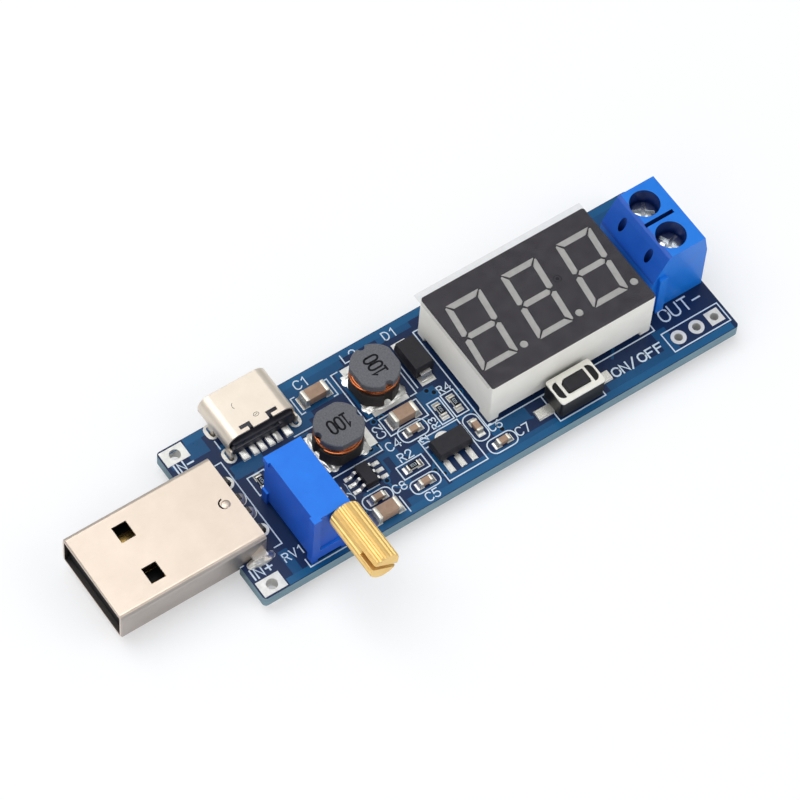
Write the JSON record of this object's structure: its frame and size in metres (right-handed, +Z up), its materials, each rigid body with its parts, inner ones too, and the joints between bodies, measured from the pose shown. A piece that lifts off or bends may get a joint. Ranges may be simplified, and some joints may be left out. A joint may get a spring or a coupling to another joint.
{
  "type": "buck-boost converter module",
  "caption": "Blue buck-boost converter board with USB plug and socket, LED voltage meter, brass adjuster, push switch and blue screw terminal.",
  "frame": {"origin": "middle of the whole part in plan, at the tips of its pins", "axes": "+X along the board from the plug end to the screw terminal, +Y across it from the knob to the socket, +Z up out of the component face"},
  "size_m": [0.0804, 0.0306, 0.0128],
  "materials": {
    "board": "blue lacquer",
    "tin": "tinned",
    "solder": "solder",
    "shell_steel": "nickel plated",
    "contact_metal": "gold plated",
    "screw_steel": "zinc plated",
    "knob_brass": "turned",
    "copper_wire": "enamelled copper",
    "blue_moulding": "moulded",
    "white_moulding": "moulded",
    "black_moulding": "moulded",
    "meter_dark": "printed",
    "meter_light": "diffusing resin",
    "clear_film": "clear film",
    "ferrite": "ground ferrite",
    "capacitor_ceramic": "fired",
    "resistor_ceramic": "coated"
  },
  "bodies": {
    "module": {"circuit_board": "board", "board_pads": "tin", "solder_joints": "solder", "plug_shell": "shell_steel", "plug_insulator": "black_moulding", "plug_contacts": "contact_metal", "socket_shell": "shell_steel", "socket_insulator": "black_moulding", "socket_contacts": "contact_metal", "meter_housing": "white_moulding", "meter_board": "white_moulding", "meter_pins": "tin", "meter_face": "meter_dark", "meter_segments": "meter_light", "meter_film": "clear_film", "meter_chip": "black_moulding", "meter_chip_leads": "tin", "adjuster_housing": "blue_moulding", "adjuster_pins": "tin", "terminal_housing": "blue_moulding", "terminal_pins": "tin", "switch_base": "black_moulding", "switch_cover": "shell_steel", "switch_dome": "screw_steel", "switch_leads": "tin", "coil_core_1": "ferrite", "coil_core_2": "ferrite", "coil_winding_1": "copper_wire", "coil_winding_2": "copper_wire", "coil_terminals_1": "tin", "coil_terminals_2": "tin", "diode_body": "black_moulding", "diode_leads": "tin", "converter_chip": "black_moulding", "converter_leads": "tin", "regulator_chip": "black_moulding", "regulator_leads": "tin", "capacitor_1": "capacitor_ceramic", "capacitor_2": "capacitor_ceramic", "capacitor_3": "capacitor_ceramic", "capacitor_4": "capacitor_ceramic", "capacitor_5": "capacitor_ceramic", "capacitor_6": "capacitor_ceramic", "capacitor_7": "capacitor_ceramic", "capacitor_8": "capacitor_ceramic", "capacitor_9": "capacitor_ceramic", "resistor_1": "resistor_ceramic", "resistor_2": "resistor_ceramic", "resistor_3": "resistor_ceramic", "resistor_4": "resistor_ceramic"},
    "button": {"switch_button": "black_moulding"},
    "adjuster": {"adjuster_knob": "knob_brass"},
    "wheel": {"adjuster_wheel": "white_moulding"},
    "screw_1": {"terminal_screw_1": "screw_steel"},
    "screw_2": {"terminal_screw_2": "screw_steel"},
    "cage_1": {"terminal_cage_1": "screw_steel"},
    "cage_2": {"terminal_cage_2": "screw_steel"}
  },
  "joints": [
    {"name": "button_press", "type": "slide", "parent": "module", "child": "button", "axis": [0, 0, -1], "range_m": [0, 0.00025], "stiffness_N_per_m": 6000, "springref_m": -0.0001, "deforming": ["switch_dome"]},
    {"name": "adjuster_turn", "type": "hinge", "parent": "module", "child": "adjuster", "pos_m": [-0.0142, -0.01127, 0.0107], "axis": [0, 1, 0], "range_deg": [-3960, 3960]},
    {"name": "wheel_turn", "type": "hinge", "parent": "module", "child": "wheel", "pos_m": [-0.0142, -0.00234, 0.00715], "axis": [1, 0, 0], "range_deg": [-155, 155]},
    {"name": "screw_1_turn", "type": "hinge", "parent": "module", "child": "screw_1", "pos_m": [0.03615, 0.00128, 0.0098], "axis": [0, 0, 1], "range_deg": [-1008, 0]},
    {"name": "screw_2_turn", "type": "hinge", "parent": "module", "child": "screw_2", "pos_m": [0.03615, 0.00628, 0.0098], "axis": [0, 0, 1], "range_deg": [-1008, 0]},
    {"name": "cage_1_rise", "type": "slide", "parent": "module", "child": "cage_1", "axis": [0, 0, 1], "range_m": [0, 0.0014]},
    {"name": "cage_2_rise", "type": "slide", "parent": "module", "child": "cage_2", "axis": [0, 0, 1], "range_m": [0, 0.0014]}
  ],
  "couplings": [
    {"joint": "wheel_turn", "follows": "adjuster_turn", "ratio": 0.038462},
    {"joint": "screw_1_turn", "follows": "cage_1_rise", "rad_per_m": -12566},
    {"joint": "screw_2_turn", "follows": "cage_2_rise", "rad_per_m": -12566}
  ]
}
